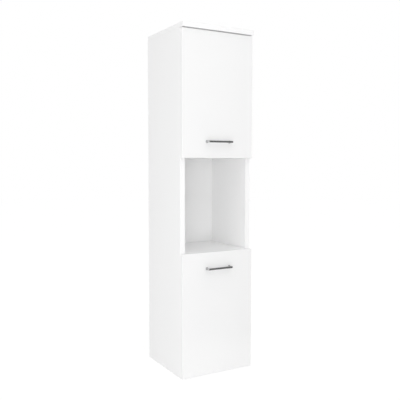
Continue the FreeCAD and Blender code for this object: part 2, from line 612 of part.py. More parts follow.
for door, (foot, head) in HINGES.items():
    body = doc.addObject("PartDesign::Body", door + "_slab")
    place(body, "left", "door_back", foot)
    outline = sketch_on(body, door + "_outline", "XZ_Plane")
    rectangle(outline, "0", "0", "width", "(%s) - (%s)" % (head, foot))
    board = pad(body, door + "_board", outline, "door_thickness")
    soften(body, door + "_edges", board, "door_edge_round")
    level = "(niche_top + handle_edge_space)" if door == "upper_door" else "(niche_floor_level - handle_edge_space)"
    half = "(handle_length - handle_leg_width) / 2"
    screws = []
    handle = doc.addObject("PartDesign::Body", door.replace("door", "handle") + "_bow")
    place(handle, "0", "door_front", level)
    bar_plan = sketch_on(handle, door + "_bar_plan", "XY_Plane")
    rectangle(bar_plan, "0", "0", "handle_length", "handle_bar_depth")
    bar_plan.setExpression("AttachmentOffset.Base.x", ex("-handle_length / 2"))
    bar_plan.setExpression("AttachmentOffset.Base.y", ex("-handle_reach"))
    bar = pad(handle, door + "_bar", bar_plan, "handle_bar_height", both_ways=True)
    for end, offset in (("left", "-handle_length / 2"), ("right", "handle_length / 2 - handle_leg_width")):
        leg_plan = sketch_on(handle, "%s_%s_leg_plan" % (door, end), "XY_Plane")
        rectangle(leg_plan, "0", "0", "handle_leg_width", "handle_reach")
        leg_plan.setExpression("AttachmentOffset.Base.x", ex(offset))
        leg_plan.setExpression("AttachmentOffset.Base.y", ex("-handle_reach"))
        bar = pad(handle, "%s_%s_leg" % (door, end), leg_plan, "handle_bar_height", both_ways=True)
    for end, sign in (("left", -1), ("right", 1)):
        foot_plan = sketch_on(handle, "%s_%s_foot_plan" % (door, end), "XY_Plane")
        rectangle(foot_plan, "0", "0", "handle_foot_width", "handle_foot_depth")
        foot_plan.setExpression("AttachmentOffset.Base.x", ex("%d * %s - handle_foot_width / 2" % (sign, half)))
        foot_plan.setExpression("AttachmentOffset.Base.y", ex("-handle_foot_depth"))
        bar = pad(handle, "%s_%s_foot" % (door, end), foot_plan, "handle_foot_height", both_ways=True)
    soften(handle, door + "_handle_edges", bar,
           "min(handle_round; 0.45 * (handle_foot_height - handle_bar_height) / 2;"
           " 0.45 * (handle_foot_width - handle_leg_width) / 2; 0.45 * handle_leg_width)")
    taps = []
    for end, sign in (("left", -1), ("right", 1)):
        at = ("%d * %s" % (sign, half), level)
        name = "%s_%s" % (door, end)
        taps.append(rod("handle_tap_" + name, "y", at, ("door_front - handle_tapping_depth", "door_front"),
                        "handle_tapping"))
        cup_holes[door].append(rod("handle_hole_" + name, "y", at, ("door_front", "door_back"),
                                   "handle_screw_hole"))
        screws.append(fuse("handle_screw_" + name, [
            rod("handle_shank_" + name, "y", at, ("door_front - handle_screw_bite", "door_back"),
                "handle_screw_radius"),
            rod("handle_head_" + name, "y", at, ("door_back", "door_back + handle_head_height"),
                "handle_head_radius"),
        ]))
    node(door, cut(door + "_drilled", body, cup_holes[door]))
    node(door.replace("door", "handle"), cut(door + "_handle_tapped", handle, taps))
    node(door.replace("door", "handle_screws"), group(door + "_handle_screws", screws))
    bumpers = []
    for end, z in (("high", "(%s) - bumper_inset" % head), ("low", "(%s) + bumper_inset" % foot)):
        at = ("left + bumper_inset", z)
        bumpers.append(rod("bumper_%s_%s" % (door, end), "y", at, ("door_back", "door_back + bumper_height"),
                           "bumper_radius"))
    node(door + "_bumpers", group(door + "_bumpers", bumpers))

# ---------------------------------------------------------------- hangers and rail

rail_parts = [
    box("rail_back", ("-rail_length / 2", "rail_length / 2"), ("rear - rail_sheet", "rear"),
        ("rail_foot", "rail_top")),
    box("rail_bend", ("-rail_length / 2", "rail_length / 2"), ("rear - rail_shelf", "rear"),
        ("rail_top", "rail_top + rail_sheet")),
    box("rail_lip", ("-rail_length / 2", "rail_length / 2"),
        ("rear - rail_shelf", "rear - rail_shelf + rail_sheet"), ("rail_top", "lip_top")),
]
rail_holes = [
    rod("rail_hole_%d" % n, "y", ("%d * rail_hole_spacing / 2" % sign, "rail_foot + rail_hole_height"),
        ("rear - rail_sheet", "rear"), "rail_hole_radius")
    for n, sign in enumerate((-1, 1))
]
node("wall_rail", cut("rail_drilled", fuse("rail_profile", rail_parts), rail_holes))

back_holes, hanger_screws, access_caps = [], [], []
for side_name, side in SIDES:
    name = side_name + "_hanger"
    foot_z = "hanger_top - hanger_height"
    body_x = span_across(side, "inner - hanger_width", "inner")
    body_y = ("hanger_front", "hanger_front + hanger_depth")
    middle_x = across(side, "inner - hanger_width / 2")
    hook_x = span_across(side, "inner - hanger_width / 2 - hanger_hook_width / 2",
                         "inner - hanger_width / 2 + hanger_hook_width / 2")
    shell = box(name + "_block", body_x, body_y, (foot_z, "hanger_top"))
    hollow_x = span_across(side, "inner - hanger_width + hanger_wall", "inner - hanger_wall")
    hollow = box(name + "_hollow", hollow_x, ("hanger_front + hanger_wall", "hanger_front + hanger_depth"),
                 ("%s + hanger_wall" % foot_z, "hanger_top"))
    tools = [hollow, rod(name + "_window", "y", (middle_x, "access_z"),
                         ("hanger_front", "hanger_front + hanger_wall"), "access_radius")]
    for end, sign in (("high", 1), ("low", -1)):
        at = ("hanger_front + hanger_depth / 2 + hanger_wall / 2",
              "access_z + %d * hanger_screw_spacing / 2" % sign)
        foot_x = span_across(side, "inner - hanger_wall", "inner")
        tools.append(rod("%s_way_%s" % (name, end), "x", at, foot_x, "hanger_screw_hole"))
        bite_x = span_across(side, "inner", "inner + hanger_screw_bite")
        holes[side_name + "_side_panel"].append(rod("%s_bite_%s" % (name, end), "x", at, bite_x,
                                                    "hanger_screw_hole"))
        shank_x = span_across(side, "inner - hanger_wall", "inner + hanger_screw_bite")
        head_x = span_across(side, "inner - hanger_wall - hanger_head_height", "inner - hanger_wall")
        hanger_screws.append(fuse("%s_screw_%s" % (name, end), [
            rod("%s_shank_%s" % (name, end), "x", at, shank_x, "hanger_screw_radius"),
            rod("%s_head_%s" % (name, end), "x", at, head_x, "hanger_head_radius"),
        ]))
    node(name + "_housing", cut(name + "_shell", shell, tools))
    stem_y = ("hanger_front + hanger_wall", "hanger_front + hanger_wall + hook_sheet")
    tongue_y = ("rear - rail_shelf + rail_sheet + link_play", "rear - rail_shelf + rail_sheet + link_play + hook_sheet")
    node(name + "_hook", fuse(name + "_hook_body", [
        box(name + "_stem", hook_x, stem_y, ("%s + hanger_wall" % foot_z, "hook_top")),
        box(name + "_bridge", hook_x, (stem_y[0], tongue_y[1]), ("lip_top", "hook_top")),
        box(name + "_tongue", hook_x, tongue_y, ("rail_top + rail_sheet + hook_clearance", "hook_top")),
    ]))
    at = (middle_x, "access_z")
    back_holes.append(rod(name + "_access", "y", at, ("back_face", "back_rear"), "access_radius"))
    access_caps.append(fuse(name + "_cap", [
        rod(name + "_cap_face", "y", at, ("back_face - access_cap_height", "back_face"), "access_cap_radius"),
        rod(name + "_cap_plug", "y", at, ("back_face", "back_rear"), "access_radius - pin_play"),
    ]))
node("hanger_screws", group("hanger_screw_set", hanger_screws))
node("access_caps", group("access_cap_set", access_caps))

# ---------------------------------------------------------------- boards

groove_y = ("back_face - groove_play", "back_rear + groove_play")
inner_x = ("-(inner)", "inner")
reach = "groove_depth - groove_play"

for side_name, side in SIDES:
    name = side_name + "_side_panel"
    board_x = span_across(side, "inner", "right")
    plain = box(name + "_board", board_x, ("front", "rear"), ("0", "under_top"))
    eased = rounded(name + "_eased", plain, "edge_round",
                    lambda at, bounds: at.y < bounds.YMin + NEAR or at.z < bounds.ZMin + NEAR)
    groove_x = span_across(side, "inner", "inner + groove_depth")
    holes[name].append(box(name + "_groove", groove_x, groove_y, ("bottom_thickness - groove_depth", "under_top")))
    node(name, cut(name + "_drilled", eased, holes[name]))

plain = box("top_board", ("left", "right"), ("front - top_overhang", "rear"), ("under_top", "total_height"))
holes["top_panel"].append(box("top_groove", ("-(inner) - groove_depth", "inner + groove_depth"), groove_y,
                              ("under_top", "under_top + groove_depth")))
node("top_panel", cut("top_drilled", rounded("top_eased", plain, "edge_round"), holes["top_panel"]))

for name, (low, high, mouth) in SHELVES.items():
    deep = "rear" if name == "bottom_panel" else "back_face - groove_play"
    plain = box(name + "_board", inner_x, ("front", deep), (low, high))
    if name == "bottom_panel":
        holes[name].append(box("bottom_groove", inner_x, groove_y, ("%s - groove_depth" % high, high)))
    node(name, cut(name + "_drilled", plain, holes[name]))

back = box("back_board", ("-(inner) - (%s)" % reach, "inner + %s" % reach), ("back_face", "back_rear"),
           ("bottom_thickness - (%s)" % reach, "under_top + %s" % reach))
node("back_panel", cut("back_drilled", back, back_holes))

for name, level in (("upper_shelf", "upper_support"), ("lower_shelf", "lower_support")):
    shelf_x = ("-(inner) + shelf_play", "inner - shelf_play")
    board = box(name + "_board", shelf_x, ("front + shelf_setback", "back_face - shelf_back_play"),
                (level, "%s + shelf_thickness" % level))
    node(name, rounded(name + "_eased", board, "edge_round",
                       lambda at, bounds: at.y < bounds.YMin + NEAR))
    node(name + "_supports", group(name + "_support_set", supports[name + "_supports"]))

node("joint_dowels", group("dowel_set", dowels))
node("cam_housings", group("cam_set", cams))
node("cam_bolts", group("cam_bolt_set", cam_bolts))
node("cam_caps", group("cam_cap_set", cam_caps))

# ---------------------------------------------------------------- check and write

doc.recompute()
for thing in doc.Objects:
    state = set(thing.State) & {"Invalid", "Error"}
    if state:
        raise RuntimeError("%s (%s) failed to build" % (thing.Name, thing.Label))

os.makedirs("parts", exist_ok=True)
for thing in nodes:
    shape = thing.Shape
    if shape.isNull() or not shape.isValid() or not shape.Solids:
        raise RuntimeError("%s has no valid solid" % thing.Label)
    shape.exportStep(os.path.join("parts", thing.Label + ".step"))
print(len(nodes), "sub-parts,", sum(len(thing.Shape.Solids) for thing in nodes), "solids")
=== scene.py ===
from math import cos, pi, radians, sin, sqrt

import bmesh
import bpy
from bpy.props import FloatProperty, FloatVectorProperty, PointerProperty
from mathutils import Matrix, Vector


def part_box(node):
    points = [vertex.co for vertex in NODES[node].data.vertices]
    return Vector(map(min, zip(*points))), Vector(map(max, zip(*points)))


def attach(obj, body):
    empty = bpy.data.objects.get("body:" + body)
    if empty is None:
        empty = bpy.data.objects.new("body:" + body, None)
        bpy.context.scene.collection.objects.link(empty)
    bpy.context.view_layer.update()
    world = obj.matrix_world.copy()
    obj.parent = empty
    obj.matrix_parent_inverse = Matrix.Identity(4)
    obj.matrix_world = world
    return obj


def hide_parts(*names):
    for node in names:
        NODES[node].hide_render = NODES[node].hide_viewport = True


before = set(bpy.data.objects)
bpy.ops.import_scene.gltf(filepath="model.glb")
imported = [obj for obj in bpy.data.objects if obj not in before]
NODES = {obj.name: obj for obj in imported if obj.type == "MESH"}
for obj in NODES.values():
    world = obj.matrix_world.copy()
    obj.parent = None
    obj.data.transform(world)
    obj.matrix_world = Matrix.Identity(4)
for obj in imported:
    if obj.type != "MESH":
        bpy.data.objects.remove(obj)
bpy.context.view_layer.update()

bl_info = {
    "name": "Tall Bathroom Cabinet",
    "version": (1, 0, 0),
    "blender": (4, 5, 0),
    "location": "3D View > Sidebar > Cabinet",
    "description": "Finishes, handles, fittings and studio of a tall white bathroom cabinet",
    "category": "Object",
}

MM = 0.001
SAME_POINT = 1e-6  # metres; points nearer than this are one

DOORS = ("upper_door", "lower_door")
HINGE_PARTS = ("cup", "link", "arm", "plate")
HINGES = [door + end for door in DOORS for end in ("_high_hinge_", "_low_hinge_")]

X_AXIS, Y_AXIS, Z_AXIS = Vector((1, 0, 0)), Vector((0, 1, 0)), Vector((0, 0, 1))

# Node, body, head radius, head height and shank radius, way out, and head height in the CAD.
# Lengths are in millimetres. The hanger screws point away from the nearer side panel.
SCREWS = (
    ("hinge_plate_screws", "cabinet", 4.0, 1.5, 2.4, -X_AXIS, 1.5),
    ("hinge_arm_screws", "cabinet", 3.4, 1.2, 2.0, -X_AXIS, 1.2),
    ("upper_door_cup_screws", "upper_door", 3.3, 1.0, 1.75, Y_AXIS, 0.1),
    ("lower_door_cup_screws", "lower_door", 3.3, 1.0, 1.75, Y_AXIS, 0.1),
    ("upper_handle_screws", "upper_door", 4.0, 2.2, 2.0, Y_AXIS, 2.2),
    ("lower_handle_screws", "lower_door", 4.0, 2.2, 2.0, Y_AXIS, 2.2),
    ("hanger_screws", "cabinet", 4.0, 2.0, 2.4, None, 2.0),
)
THREAD_PITCH = 0.9 * MM
THREAD_RUNOUT = 1.5 * MM
SCREW_TURN, SCREW_TURN_STEP = 0.5, 1.1  # radians; the recesses stand at different angles

SENSOR_WIDTH = 36  # millimetres
FLOOR_DROP = 0.6 * MM  # keeps the floor clear of the cabinet's underside
SCREEN_START = Vector((0, -0.2, 0.002))
SCREEN_AHEAD, SCREEN_ACROSS = Vector((0.53, -0.85, 0)), Vector((0.85, 0.53, 0))


def length(name, description, millimetres):
    return FloatProperty(name=name, description=description, default=millimetres * MM,
                         min=0, precision=5, unit="LENGTH")


def spot(name, description, *metres):
    return FloatVectorProperty(name=name, description=description, default=metres,
                               size=3, precision=4, subtype="TRANSLATION", unit="LENGTH")


def angle(name, description, degrees):
    return FloatProperty(name=name, description=description, default=radians(degrees),
                         precision=4, unit="ROTATION")


def colour(name, description, *rgb):
    return FloatVectorProperty(name=name, description=description, default=rgb,
                               size=3, min=0, max=1, subtype="COLOR")


def factor(name, description, value, highest=1):
    return FloatProperty(name=name, description=description, default=value,
                         min=0, max=highest, subtype="FACTOR")


def power(name, description, watts):
    return FloatProperty(name=name, description=description, default=watts, min=0, unit="POWER")


class CabinetFinish(bpy.types.PropertyGroup):
    """Colours of the cabinet's surfaces."""
    lacquer: colour("Door lacquer", "Satin white of both doors", 0.92, 0.92, 0.92)
    melamine: colour("Carcass", "White of sides, top and fixed boards", 0.95, 0.95, 0.95)
    shelf: colour("Loose shelves", "White of the two loose shelves", 0.93, 0.93, 0.93)
    back_front: colour("Back, front", "White face of the back panel", 0.945, 0.945, 0.945)
    back_rear: colour("Back, rear", "Raw hardboard at the rear", 0.36, 0.22, 0.12)
    back_fleck: colour("Hardboard flecks", "Darker fibres of the hardboard", 0.2, 0.11, 0.055)
    handle: colour("Handles", "Satin chrome of the handles", 0.45, 0.45, 0.455)
    nickel: colour("Hinges", "Nickel plating of the hinges", 0.66, 0.64, 0.6)
    zinc: colour("Steel", "Zinc-plated steel of rail, hooks and screws", 0.6, 0.61, 0.64)
    casting: colour("Cams", "Cast zinc of the cam housings", 0.48, 0.49, 0.51)
    plastic: colour("White plastic", "Caps and hanger housings", 0.8, 0.8, 0.78)
    clear: colour("Clear plastic", "Shelf supports and bumpers", 0.93, 0.95, 0.96)
    beech: colour("Beech", "Light wood of the dowels", 0.6, 0.4, 0.24)
    beech_ray: colour("Beech rays", "Darker flecks of the dowels", 0.38, 0.22, 0.12)


class CabinetHandle(bpy.types.PropertyGroup):
    """Shape of the bow handles. Their outer size is that of the CAD handles."""
    bar_height: length("Bar height", "Bar from its lower to its upper face", 8)
    bar_depth: length("Bar depth", "Bar from front to rear", 7)
    leg_width: length("Leg width", "Legs along the bar", 9)
    foot_width: length("Foot width", "Feet along the bar", 12)
    foot_depth: length("Foot depth", "Wider foot from the door forward", 6)
    foot_corner: length("Foot corners", "Rounding of the feet seen from the front", 5.2)
    foot_ease: length("Foot ease", "Rounding of the feet's rims on the door", 0.5)
    outer_corner: length("Outer corner", "Rounding where the bar turns into a leg", 0.7)
    inner_corner: length("Inner corner", "Rounding inside that turn", 1.4)
    edge: length("Edges", "Rounding along all edges", 0.55)


class CabinetFittings(bpy.types.PropertyGroup):
    """Small sizes of hinges, hangers, shelf supports and caps."""
    hinge_edge: length("Hinge edges", "Rounding of the hinges' sheet edges", 0.22)
    pin_edge: length("Pin edges", "Rounding of the hinge pins' ends", 0.3)
    rail_edge: length("Rail edges", "Rounding of the wall rail's edges", 0.35)
    hook_edge: length("Hook edges", "Rounding of the hangers' hooks", 0.4)
    housing_edge: length("Housing edges", "Rounding of the hangers' housings", 0.6)
    tongue: length("Support tongue", "Thickness of a shelf support's tongue", 2.4)
    tongue_edge: length("Tongue edges", "Rounding of that tongue's edges", 0.5)
    brace: length("Support brace", "Thickness of the brace under the tongue", 1.8)
    cap_rim: length("Access cap rim", "Face of an access cap beyond its plug", 2.05)


class CabinetStage(bpy.types.PropertyGroup):
    """Floor, lamps, reflections and camera."""
    floor_radius: length("Floor radius", "Round pale floor", 12000)
    floor_tone: factor("Floor tone", "Grey level of the floor", 0.9)
    floor_glow: factor("Floor glow", "Share of plain white that the camera sees in it", 0.84)
    floor_white: factor("Floor white", "Level of that white", 1.08, 2)
    sky: factor("Even light", "Strength of the light from all sides", 0.615, 5)
    low_power: power("Low lamp", "Power of the soft lamp low at the front left", 46)
    low_size: length("Low lamp size", "Width and height of that lamp", 2000)
    low_place: spot("Low lamp place", "Middle of that lamp", -1.9, -2.7, 0.4)
    left_power: power("Left lamp", "Power of the soft lamp at the left", 13)
    left_size: length("Left lamp size", "Width and height of that lamp", 3000)
    left_place: spot("Left lamp place", "Middle of that lamp", -4.0, -1.2, 1.3)
    high_power: power("High lamp", "Power of the soft lamp high in front", 40)
    high_size: length("High lamp size", "Width and height of that lamp", 3500)
    high_place: spot("High lamp place", "Middle of that lamp", -0.4, -2.3, 4.2)
    lamp_aim: spot("Lamp aim", "Point on the cabinet that all lamps face", 0, 0, 0.8)
    screen_tone: factor("Screen tone", "Grey that reflections find at the front right", 0.305)
    screen_near: length("Screen start", "Grey screen's near edge before the cabinet", 450)
    screen_far: length("Screen depth", "Where the screen rises from the floor", 2450)
    screen_top: length("Screen top", "Height of the screen's upper edge", 2500)
    screen_width: length("Screen width", "Grey screen from side to side", 3000)
    eye_place: spot("Camera place", "Where the camera stands", -1.2736, -2.2625, 0.9175)
    eye_turn: angle("Camera turn", "Turn to the right from straight ahead", 29.582)
    eye_dip: angle("Camera dip", "Tilt below the horizontal", 3.634)
    eye_lens: FloatProperty(name="Lens", description="Focal length of the camera",
                            default=51.02, min=1, unit="CAMERA")


# ------------------------------------------------------------------ shaders

def join(tree, source, target):
    tree.links.new(source, target)


def add_node(tree, kind, **values):
    """A shader node. Names of attributes set them, and other names set its input sockets."""
    made = tree.nodes.new(kind)
    for name, value in values.items():
        if hasattr(made, name):
            setattr(made, name, value)
        else:
            made.inputs[name.replace("_", " ")].default_value = value
    return made


def feed(tree, socket, value):
    """Link a socket to another, or set it to a number or a colour."""
    if isinstance(value, bpy.types.NodeSocket):
        join(tree, value, socket)
    elif socket.type == "RGBA":
        socket.default_value = (*value, 1)
    else:
        socket.default_value = value


def maths(tree, operation, first, second, clamp=False):
    made = add_node(tree, "ShaderNodeMath", operation=operation, use_clamp=clamp)
    for socket, value in zip(made.inputs, (first, second)):
        feed(tree, socket, value)
    return made.outputs[0]


def mix_colour(tree, amount, first, second):
    made = add_node(tree, "ShaderNodeMix", data_type="RGBA")
    # sockets 0, 6 and 7 are the factor and the two colours, and output 2 is the mixed colour
    for index, value in ((0, amount), (6, first), (7, second)):
        feed(tree, made.inputs[index], value)
    return made.outputs[2]


def mix_number(tree, amount, first, second):
    made = add_node(tree, "ShaderNodeMix", data_type="FLOAT")
    # sockets 0, 2 and 3 are the factor and the two numbers
    for index, value in ((0, amount), (2, first), (3, second)):
        feed(tree, made.inputs[index], value)
    return made.outputs[0]


def in_object(tree, output="Object"):
    """Texture coordinates in the object's own space."""
    return add_node(tree, "ShaderNodeTexCoord").outputs[output]


def effect(name, inputs, outputs):
    """An empty shader node group with named sockets."""
    tree = bpy.data.node_groups.new(name, "ShaderNodeTree")
    for label, kind, value in inputs:
        socket = tree.interface.new_socket(label, in_out="INPUT", socket_type="NodeSocket" + kind)
        socket.default_value = value
    for label, kind in outputs:
        tree.interface.new_socket(label, in_out="OUTPUT", socket_type="NodeSocket" + kind)
    given, result = tree.nodes.new("NodeGroupInput"), tree.nodes.new("NodeGroupOutput")
    return tree, given.outputs, result.inputs


def grain_effect():
    """Fine relief in the object's own space, stretched along the way the surface was worked."""
    tree, given, result = effect(
        "Grain",
        [("Scale", "Float", 500), ("Stretch", "Vector", (1, 1, 1))],
        [("Height", "Float")])
    stretched = add_node(tree, "ShaderNodeVectorMath", operation="MULTIPLY")
    join(tree, in_object(tree), stretched.inputs[0])
    join(tree, given["Stretch"], stretched.inputs[1])
    noise = add_node(tree, "ShaderNodeTexNoise", Detail=3, Roughness=0.55)
    join(tree, stretched.outputs[0], noise.inputs["Vector"])
    join(tree, given["Scale"], noise.inputs["Scale"])
    join(tree, noise.outputs["Fac"], result["Height"])
    return tree


def cloud_effect():
    """Slow drift of colour and gloss over a surface."""
    white = (1, 1, 1, 1)
    tree, given, result = effect(
        "Cloud",
        [("Color", "Color", white), ("Drift Color", "Color", white), ("Scale", "Float", 6),
         ("Amount", "Float", 0.1), ("Roughness", "Float", 0.4), ("Gloss Drift", "Float", 0.05)],
        [("Color", "Color"), ("Roughness", "Float")])
    noise = add_node(tree, "ShaderNodeTexNoise", Detail=4, Roughness=0.6)
    join(tree, in_object(tree), noise.inputs["Vector"])
    join(tree, given["Scale"], noise.inputs["Scale"])
    amount = maths(tree, "MULTIPLY", noise.outputs["Fac"], given["Amount"])
    tint = mix_colour(tree, amount, given["Color"], given["Drift Color"])
    join(tree, tint, result["Color"])
    around_zero = maths(tree, "SUBTRACT", noise.outputs["Fac"], 0.5)
    swing = maths(tree, "MULTIPLY", around_zero, given["Gloss Drift"])
    join(tree, maths(tree, "ADD", given["Roughness"], swing), result["Roughness"])
    return tree


def painted_edge_effect():
    """Patchy mask of the outer edges, for a painted edge tone: painted shade on the white
    finishes, a painted highlight on the metals.
    """
    tree, given, result = effect(
        "Edge Rub", [("Radius", "Float", 0.002), ("Amount", "Float", 1)], [("Mask", "Float")])
    soft = add_node(tree, "ShaderNodeBevel", samples=6)
    join(tree, given["Radius"], soft.inputs["Radius"])
    flat = add_node(tree, "ShaderNodeNewGeometry").outputs["Normal"]
    alike = add_node(tree, "ShaderNodeVectorMath", operation="DOT_PRODUCT")
    join(tree, soft.outputs[0], alike.inputs[0])
    join(tree, flat, alike.inputs[1])
    bent = maths(tree, "SUBTRACT", 1, alike.outputs["Value"])
    patchy = add_node(tree, "ShaderNodeTexNoise", Scale=90, Detail=3)
    join(tree, in_object(tree), patchy.inputs["Vector"])
    painted_amount = maths(tree, "MULTIPLY", bent, patchy.outputs["Fac"])
    painted_amount = maths(tree, "MULTIPLY", painted_amount, given["Amount"])
    join(tree, maths(tree, "MULTIPLY", painted_amount, 6, clamp=True), result["Mask"])
    return tree


def raw_side_effect():
    """Mask of the faces that look to the rear, in the object's own space."""
    tree, given, result = effect(
        "Raw Side", [("Softness", "Float", 0.1)], [("Mask", "Float")])
    way = add_node(tree, "ShaderNodeSeparateXYZ")
    join(tree, in_object(tree, "Normal"), way.inputs[0])
    past = maths(tree, "ADD", way.outputs["Y"], 0.5)
    join(tree, maths(tree, "DIVIDE", past, given["Softness"], clamp=True), result["Mask"])
    return tree


EFFECTS = {}


def place_effect(tree, name, **values):
    """Outputs of a shared effect, placed in a material with its own values."""
    made = tree.nodes.new("ShaderNodeGroup")
    made.node_tree = EFFECTS[name]
    for label, value in values.items():
        feed(tree, made.inputs[label.replace("_", " ")], value)
    return made.outputs


def finish(name, base, drift, roughness, gloss_drift=0.06, cloud=6, amount=0.3, grain=500,
           stretch=(1, 1, 1), relief=0.02, edge=0, painted_edge_tone=None, edge_radius=1.5, **fixed):
    """A surface with drifting colour and gloss, grain relief, and a colour painted along its
    edges: painted shade where that colour is darker than the base, a painted highlight where it
    is lighter.

    relief and edge_radius are in millimetres. Names in fixed are sockets of the shader.
    """
    surface = bpy.data.materials.new(name)
    surface.use_nodes = True
    tree = surface.node_tree
    shader = tree.nodes["Principled BSDF"]
    for label, value in fixed.items():
        shader.inputs[label.replace("_", " ")].default_value = value
    shade = place_effect(tree, "Cloud", Color=base, Drift_Color=drift, Scale=cloud,
                         Amount=amount, Roughness=roughness, Gloss_Drift=gloss_drift)
    tint = shade["Color"]
    # edge sets how strongly the edge colour is painted in: shade on the white finishes,
    # highlights on the metals.
    if edge:
        painted_edge = place_effect(tree, "Edge Rub", Radius=edge_radius * MM, Amount=edge)
        tint = mix_colour(tree, painted_edge["Mask"], tint, painted_edge_tone)
    join(tree, tint, shader.inputs["Base Color"])
    join(tree, shade["Roughness"], shader.inputs["Roughness"])
    fine = place_effect(tree, "Grain", Scale=grain, Stretch=stretch)
    bump = add_node(tree, "ShaderNodeBump", Strength=1, Distance=relief * MM)
    join(tree, fine["Height"], bump.inputs["Height"])
    join(tree, bump.outputs[0], shader.inputs["Normal"])
    return surface


def scaled(rgb, amount):
    return tuple(channel * amount for channel in rgb)


def clear_plastic(context):
    """Clear plastic of supports and bumpers, made once."""
    name, tone = "Clear Plastic", context.scene.cabinet_finish.clear
    return bpy.data.materials.get(name) or finish(
        name, tone, scaled(tone, 0.95), 0.25, amount=0.4, cloud=80, grain=700, relief=0.01,
        Transmission_Weight=0.4, IOR=1.49)


def white_plastic(context):
    """White plastic of caps and housings, made once."""
    name, tone = "White Plastic", context.scene.cabinet_finish.plastic
    # Edges are painted 0.85 as bright as the plastic: painted shade.
    return bpy.data.materials.get(name) or finish(
        name, tone, scaled(tone, 0.93), 0.42, amount=0.5, cloud=50, grain=600,
        edge=0.5, painted_edge_tone=scaled(tone, 0.85), edge_radius=0.8)


def wear(surface, *names):
    """Give CAD nodes a finish."""
    for name in names:
        for slot in NODES[name].material_slots:
            slot.link = "OBJECT"
            slot.material = surface


# ------------------------------------------------------------------ meshes

def solids(node):
    """(lowest, highest) corner of each separate solid of a CAD node, from below upward."""
    form = bmesh.new()
    form.from_mesh(NODES[node].data)
    bmesh.ops.remove_doubles(form, verts=form.verts, dist=SAME_POINT)
    left, boxes = set(form.verts), []
    while left:
        seed = left.pop()
        island, front = [seed], [seed]
        while front:
            vert = front.pop()
            for link in vert.link_edges:
                other = link.other_vert(vert)
                if other in left:
                    left.remove(other)
                    island.append(other)
                    front.append(other)
        boxes.append(tuple(Vector([pick(v.co[axis] for v in island) for axis in range(3)])
                           for pick in (min, max)))
    form.free()
    return sorted(boxes, key=lambda box: [round(box[0][axis], 5) for axis in (2, 0, 1)])


def soften(name, width):
    """Round the sharp edges of a CAD node with modifiers, which leave its own mesh as it is."""
    modifiers = NODES[name].modifiers
    weld = modifiers.new("Weld", "WELD")
    weld.merge_threshold = SAME_POINT
    flat = modifiers.new("Whole faces", "DECIMATE")
    flat.decimate_type = "DISSOLVE"
    flat.angle_limit = radians(1)
    bevel = modifiers.new("Soft edges", "BEVEL")
    bevel.width = width
    bevel.segments = 2
    bevel.limit_method = "ANGLE"
    bevel.angle_limit = radians(40)
    modifiers.new("Even shading", "WEIGHTED_NORMAL")


def shell(rings):
    """Closed form through rings of equally many points; a ring of one point closes an end."""
    form = bmesh.new()
    rows = [[form.verts.new(point) for point in ring] for ring in rings]
    for low, high in zip(rows, rows[1:]):
        for n in range(max(len(low), len(high))):
            corners = [low[n % len(low)], low[(n + 1) % len(low)],
                       high[(n + 1) % len(high)], high[n % len(high)]]
            form.faces.new(list(dict.fromkeys(corners)))
    for row in (rows[0], rows[-1]):
        if len(row) > 2:
            form.faces.new(row)
    bmesh.ops.recalc_face_normals(form, faces=form.faces)
    return form


def lathe(profile, segments):
    """Turned form about +Z from (radius, height) pairs."""
    turns = [2 * pi * n / segments for n in range(segments)]
    return shell([
        [Vector((radius * cos(a), radius * sin(a), height)) for a in turns] if radius
        else [Vector((0, 0, height))] for radius, height in profile])


def dome(radius, low, high, steps):
    """(radius, height) pairs of a dome, from just above its rim to the point at its top."""
    points = []
    for n in range(1, steps + 1):
        rise = pi / 2 * n / steps
        points.append((radius * cos(rise) if n < steps else 0, low + (high - low) * sin(rise)))
    return points


def rounded_block(low, high, edge, segments=2):
    """Block between two corners with rounded edges."""
    form = bmesh.new()
    bmesh.ops.create_cube(form, size=1)
    low, high = Vector(low), Vector(high)
    for vert in form.verts:
        vert.co = Vector([(low[n] + high[n]) / 2 + vert.co[n] * (high[n] - low[n])
                          for n in range(3)])
    bmesh.ops.bevel(form, geom=form.edges[:], offset=edge, segments=segments,
                    affect="EDGES", profile=0.5)
    return form


def to_mesh(form, name):
    mesh = bpy.data.meshes.new(name)
    form.to_mesh(mesh)
    form.free()
    return mesh


def gather(name, copies, turn_out=False):
    """One mesh from (mesh, matrix) copies. turn_out makes mirrored copies face outward."""
    whole = bmesh.new()
    for mesh, matrix in copies:
        part = bmesh.new()
        part.from_mesh(mesh)
        part.transform(matrix)
        spare = to_mesh(part, "spare")
        whole.from_mesh(spare)
        bpy.data.meshes.remove(spare)
    if turn_out:
        bmesh.ops.recalc_face_normals(whole, faces=whole.faces)
    return to_mesh(whole, name)


def discard(*meshes):
    for mesh in meshes:
        bpy.data.meshes.remove(mesh)


def show(name, mesh, body, surface, replaced, sharp=40):
    """A finished piece in the scene: its finish, its body and the CAD node it stands for."""
    piece = bpy.data.objects.new(name, mesh)
    bpy.context.scene.collection.objects.link(piece)
    mesh.materials.append(surface)
    mesh.shade_smooth()
    mesh.set_sharp_from_angle(angle=radians(sharp))
    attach(piece, body)
    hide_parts(replaced)


